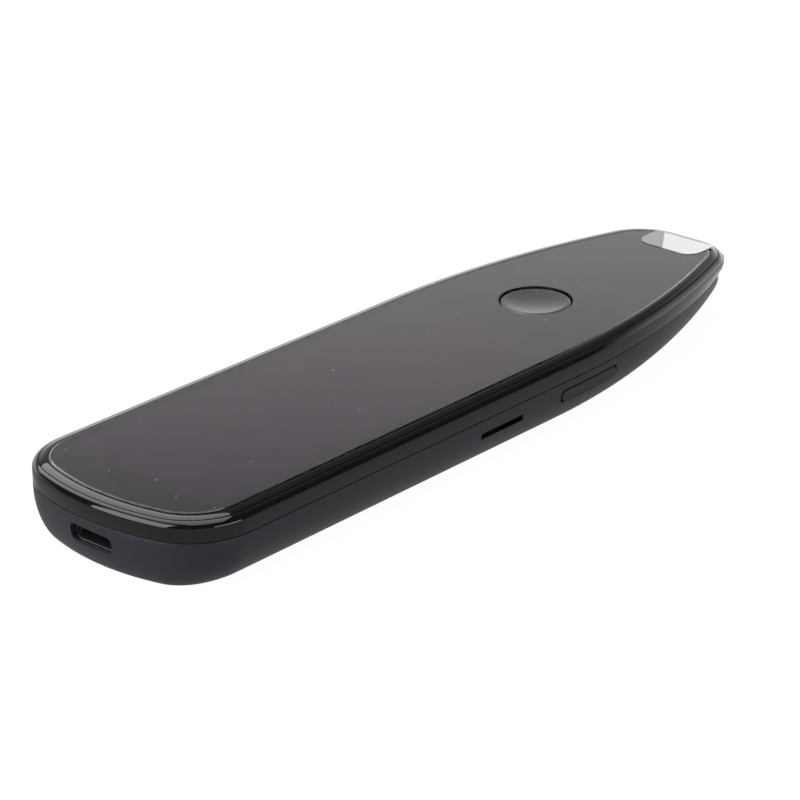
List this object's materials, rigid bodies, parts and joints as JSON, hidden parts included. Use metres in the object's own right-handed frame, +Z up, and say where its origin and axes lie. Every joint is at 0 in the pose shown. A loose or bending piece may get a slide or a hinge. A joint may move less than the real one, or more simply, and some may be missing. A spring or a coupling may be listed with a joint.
{
  "type": "scanning pen",
  "caption": "Slim handheld scanning pen with a dark glass front, round scan button, long side key, charging port, card slot and a spring-back scan head at its lifted nose.",
  "frame": {"origin": "on the ground, under the centre of the box round the whole pen", "axes": "+X from the tail with its charging port to the nose with its scan head, +Z up through the glass front, so the side key and the card slot are on the -Y side"},
  "size_m": [0.1614, 0.0446, 0.0135],
  "materials": {
    "matte_black_casing": "fine matte",
    "gloss_black_frame": "high gloss",
    "dark_glass": "polished",
    "clear_film": "clear",
    "white_tab": "satin",
    "satin_black_cap": "satin",
    "black_plastic": "moulded",
    "clear_plastic": "clear",
    "stamped_steel": "stamped",
    "dark_screw_steel": "blackened",
    "black_tape": "foam",
    "green_board": "solder mask",
    "battery_pouch": "foil",
    "amber_ribbon": "satin",
    "screen_grey": "satin",
    "mesh_grey": "woven",
    "lens_glass": "polished",
    "light_yellow": "satin",
    "ivory_plastic": "moulded"
  },
  "bodies": {
    "casing": {"bottom_shell": "matte_black_casing", "mid_frame": "gloss_black_frame", "cover_glass": "dark_glass", "glass_tape": "black_tape", "screen_film": "clear_film", "film_pull_tab": "white_tab", "button_switch": "stamped_steel", "key_switch": "stamped_steel", "port_shell": "stamped_steel", "port_tongue": "black_plastic", "card_socket": "stamped_steel", "display_panel": "screen_grey", "display_plate": "stamped_steel", "display_flex": "amber_ribbon", "main_board": "green_board", "shield_can": "stamped_steel", "battery": "battery_pouch", "battery_connector": "ivory_plastic", "speaker_mesh": "mesh_grey", "speaker": "black_plastic", "nib_switch": "stamped_steel", "camera_bracket": "black_plastic", "camera_module": "black_plastic", "camera_lens": "lens_glass", "led_board": "green_board", "camera_flex": "amber_ribbon", "scan_led_1": "light_yellow", "scan_led_2": "light_yellow", "bracket_screw_1": "dark_screw_steel", "bracket_screw_2": "dark_screw_steel", "board_screw_1": "dark_screw_steel", "board_screw_2": "dark_screw_steel", "board_screw_3": "dark_screw_steel", "board_screw_4": "dark_screw_steel", "board_screw_5": "dark_screw_steel", "board_screw_6": "dark_screw_steel"},
    "scan_button_body": {"scan_button": "satin_black_cap", "button_plunger": "black_plastic"},
    "side_key_body": {"side_key": "matte_black_casing", "key_plunger": "black_plastic"},
    "scan_head_body": {"scan_hood": "black_plastic", "scan_window": "clear_plastic", "nib_plunger": "black_plastic"}
  },
  "joints": [
    {"name": "scan_button_press", "type": "slide", "parent": "casing", "child": "scan_button_body", "axis": [0, 0, -1], "range_m": [0, 0.0003], "stiffness_N_per_m": 1000},
    {"name": "side_key_press", "type": "slide", "parent": "casing", "child": "side_key_body", "axis": [0, 1, 0], "range_m": [0, 0.0003], "stiffness_N_per_m": 1000},
    {"name": "scan_head_press", "type": "slide", "parent": "casing", "child": "scan_head_body", "axis": [-1, 0, 0], "range_m": [0, 0.0006], "stiffness_N_per_m": 800}
  ]
}
